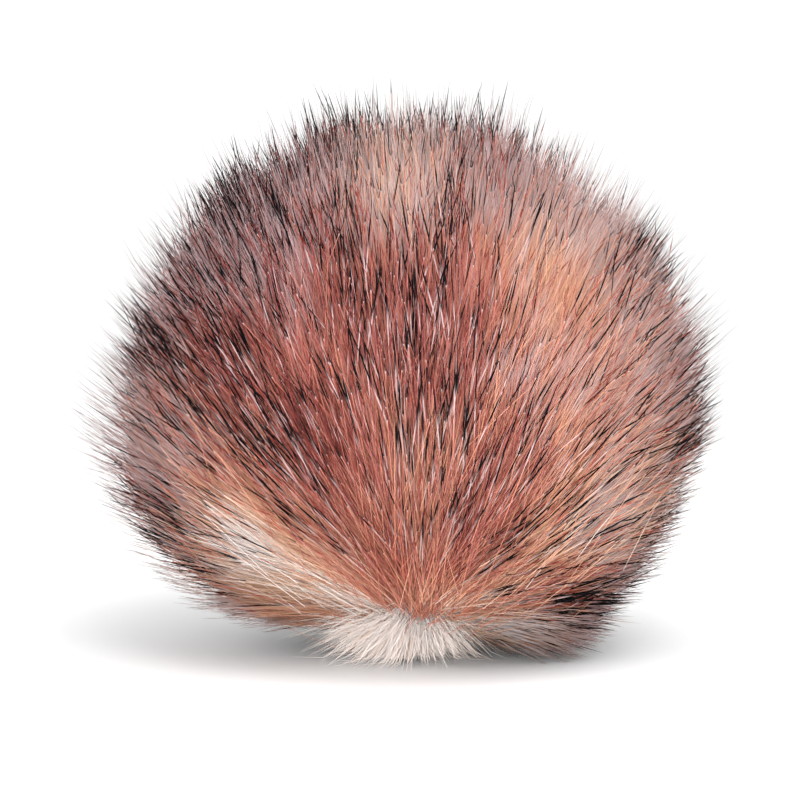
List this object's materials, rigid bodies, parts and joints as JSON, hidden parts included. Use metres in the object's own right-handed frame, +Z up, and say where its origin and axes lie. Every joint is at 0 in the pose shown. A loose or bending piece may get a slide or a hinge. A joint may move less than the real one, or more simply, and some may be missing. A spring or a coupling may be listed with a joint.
{
  "type": "pom pom",
  "caption": "Round long-pile fur pom pom, dusty pink with dark tips, its locks fanning out from a gathered flat base.",
  "frame": {"origin": "middle of the flat gathered base, on the surface that it rests on", "axes": "+X to the right as seen from the front, the widest way; +Y to the back, where the crown leans; +Z up through the crown"},
  "size_m": [0.1398, 0.1368, 0.123],
  "materials": {
    "fur": "long silky pile, dusty pink with black tips"
  },
  "bodies": {
    "root": {"fur_pom_pom": "fur"}
  },
  "joints": []
}
